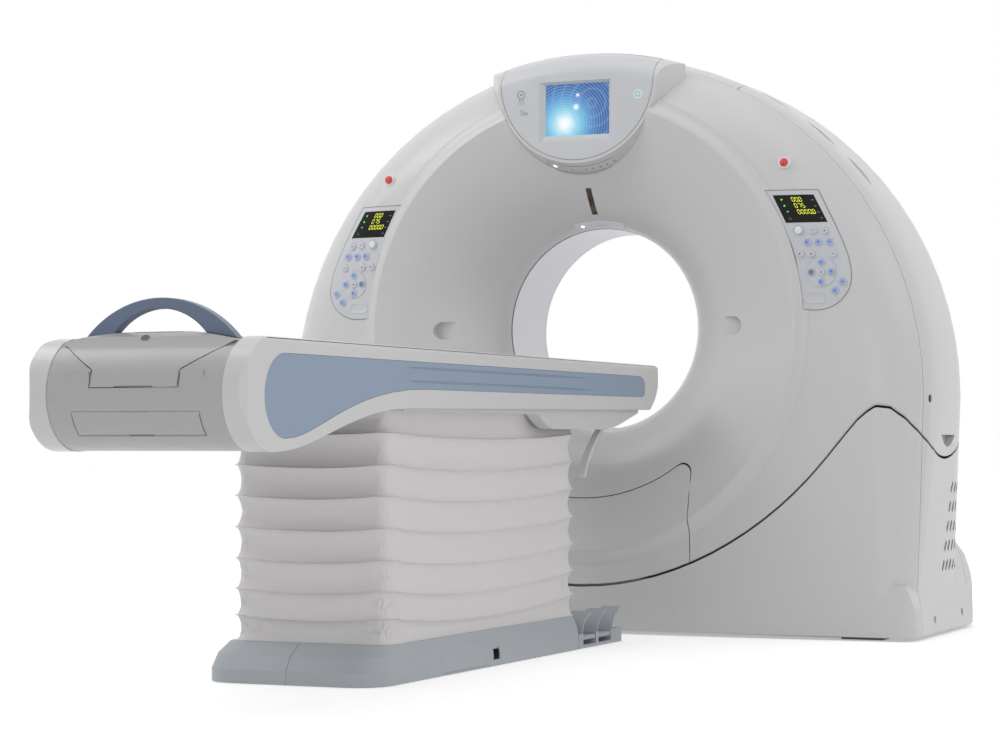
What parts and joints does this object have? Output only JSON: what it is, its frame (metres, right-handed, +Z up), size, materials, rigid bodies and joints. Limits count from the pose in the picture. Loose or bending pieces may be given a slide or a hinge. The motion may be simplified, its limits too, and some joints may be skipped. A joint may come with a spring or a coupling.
{
  "type": "ct scanner",
  "caption": "Tilting ring gantry with a flared patient bore on a fixed base, and a patient couch that rises on columns in a bellows and slides its tabletop into the bore.",
  "frame": {"origin": "on the floor, straight below the middle of the patient bore, on the underside of the gantry's base frame", "axes": "+Y along the bore axis, from the couch into the gantry; +Z up; +X to the right of someone who faces the gantry"},
  "size_m": [2.36, 3.8092, 1.985],
  "materials": {
    "cover_plastic": "satin paint on moulded plastic",
    "panel_plastic": "satin",
    "grey_plastic": "fine texture",
    "plinth_plastic": "fine texture",
    "blue_plastic": "satin",
    "handle_plastic": "satin",
    "dark_window": "gloss",
    "screen": "lit picture",
    "light": "lit",
    "laser_window": "gloss",
    "keys": "satin silicone",
    "stop_red": "gloss",
    "white_plastic": "satin",
    "bellows_fabric": "coated fabric",
    "carbon_top": "satin carbon fibre",
    "frame_paint": "powder coat",
    "machined_steel": "machined",
    "bearing_steel": "ground",
    "dark_metal": "enamel",
    "cast_aluminium": "machined",
    "copper": "lacquered winding"
  },
  "bodies": {
    "base": {"gantry_base_frame": "frame_paint", "trunnion_bearings": "bearing_steel", "lower_front_cover": "cover_plastic", "lower_rear_cover": "cover_plastic", "lower_side_cover_left": "cover_plastic", "lower_side_cover_right": "cover_plastic", "tilt_drive": "dark_metal", "couch_base_frame": "frame_paint", "plinth_cover": "plinth_plastic", "plinth_door": "plinth_plastic", "bellows": "bellows_fabric", "lift_drive": "dark_metal", "pedal_housing": "plinth_plastic"},
    "tilt": {"tilt_frame": "frame_paint", "tilt_sector": "machined_steel", "front_cover": "cover_plastic", "service_cover": "cover_plastic", "rear_cover": "cover_plastic", "side_cover_left": "cover_plastic", "side_cover_right": "cover_plastic", "top_cover": "cover_plastic", "bore_liner": "white_plastic", "laser_window": "laser_window", "light_strips": "light", "display_housing": "cover_plastic", "display_panel": "panel_plastic", "display_screen": "screen", "control_panels": "panel_plastic", "readout_windows": "dark_window", "keypads": "keys", "stop_collars": "white_plastic", "bearing_outer_race": "bearing_steel", "motor_stator": "copper"},
    "tilt_pinion": {"tilt_pinion": "machined_steel"},
    "rotor": {"rotor_ring": "cast_aluminium", "xray_tube": "cast_aluminium", "collimator": "dark_metal", "detector": "dark_metal", "high_voltage_unit": "dark_metal", "slip_ring": "copper"},
    "stop_left": {"stop_button_left": "stop_red"},
    "knob_left": {"volume_knob_left": "white_plastic"},
    "stop_right": {"stop_button_right": "stop_red"},
    "knob_right": {"volume_knob_right": "white_plastic"},
    "lift_lower": {"lift_stage_lower": "machined_steel"},
    "lift_upper": {"lift_stage_upper": "machined_steel"},
    "couch": {"couch_frame": "frame_paint", "couch_side_cover_left": "cover_plastic", "couch_side_cover_right": "cover_plastic", "side_inlays": "blue_plastic", "foot_housing": "grey_plastic", "head_under_cover": "cover_plastic"},
    "tabletop": {"tabletop": "carbon_top", "tabletop_end": "grey_plastic", "tabletop_handle": "handle_plastic"},
    "pocket_door": {"pocket_door": "grey_plastic"},
    "pedal_foot_left": {"pedal_foot_left": "plinth_plastic"},
    "pedal_foot_right": {"pedal_foot_right": "plinth_plastic"},
    "pedal_head_left": {"pedal_head_left": "plinth_plastic"},
    "pedal_head_right": {"pedal_head_right": "plinth_plastic"}
  },
  "joints": [
    {"name": "gantry_tilt", "type": "hinge", "parent": "base", "child": "tilt", "pos_m": [0, 0, 1.04], "axis": [-1, 0, 0], "range_deg": [-22, 18]},
    {"name": "tilt_pinion_turn", "type": "hinge", "parent": "base", "child": "tilt_pinion", "pos_m": [-0.9, 0, 0.5], "axis": [-1, 0, 0], "range_deg": [-178, 178]},
    {"name": "rotor_spin", "type": "hinge", "parent": "tilt", "child": "rotor", "pos_m": [0, 0, 1.04], "axis": [0, 1, 0], "continuous": true},
    {"name": "stop_press_left", "type": "slide", "parent": "tilt", "child": "stop_left", "axis": [0, 1, 0], "range_m": [0, 0.004], "stiffness_N_per_m": 500},
    {"name": "volume_turn_left", "type": "hinge", "parent": "tilt", "child": "knob_left", "pos_m": [-0.781, -0.39, 1.342], "axis": [0, 1, 0], "range_deg": [-150, 150]},
    {"name": "stop_press_right", "type": "slide", "parent": "tilt", "child": "stop_right", "axis": [0, 1, 0], "range_m": [0, 0.004], "stiffness_N_per_m": 500},
    {"name": "volume_turn_right", "type": "hinge", "parent": "tilt", "child": "knob_right", "pos_m": [0.781, -0.39, 1.342], "axis": [0, 1, 0], "range_deg": [-150, 150]},
    {"name": "couch_lift", "type": "slide", "parent": "base", "child": "couch", "axis": [0, 0, 1], "range_m": [-0.38, 0.05], "deforming": ["bellows"]},
    {"name": "stage_lower_lift", "type": "slide", "parent": "base", "child": "lift_lower", "axis": [0, 0, 1], "range_m": [-0.13, 0.02]},
    {"name": "stage_upper_lift", "type": "slide", "parent": "base", "child": "lift_upper", "axis": [0, 0, 1], "range_m": [-0.26, 0.04]},
    {"name": "tabletop_slide", "type": "slide", "parent": "couch", "child": "tabletop", "axis": [0, 1, 0], "range_m": [0, 1.75]},
    {"name": "pocket_open", "type": "hinge", "parent": "couch", "child": "pocket_door", "pos_m": [0, -3.2031, 0.6639], "axis": [1, 0, 0], "range_deg": [0, 60]},
    {"name": "pedal_press_foot_left", "type": "hinge", "parent": "base", "child": "pedal_foot_left", "pos_m": [-0.196, -0.96, 0.0345], "axis": [0, -1, 0], "range_deg": [0, 6], "stiffness_Nm_per_rad": 20},
    {"name": "pedal_press_foot_right", "type": "hinge", "parent": "base", "child": "pedal_foot_right", "pos_m": [0.196, -0.96, 0.0345], "axis": [0, 1, 0], "range_deg": [0, 6], "stiffness_Nm_per_rad": 20},
    {"name": "pedal_press_head_left", "type": "hinge", "parent": "base", "child": "pedal_head_left", "pos_m": [-0.196, -0.83, 0.0345], "axis": [0, -1, 0], "range_deg": [0, 6], "stiffness_Nm_per_rad": 20},
    {"name": "pedal_press_head_right", "type": "hinge", "parent": "base", "child": "pedal_head_right", "pos_m": [0.196, -0.83, 0.0345], "axis": [0, 1, 0], "range_deg": [0, 6], "stiffness_Nm_per_rad": 20}
  ],
  "couplings": [
    {"joint": "tilt_pinion_turn", "follows": "gantry_tilt", "ratio": -8},
    {"joint": "stage_lower_lift", "follows": "couch_lift", "ratio": 0.33333},
    {"joint": "stage_upper_lift", "follows": "couch_lift", "ratio": 0.66667}
  ]
}
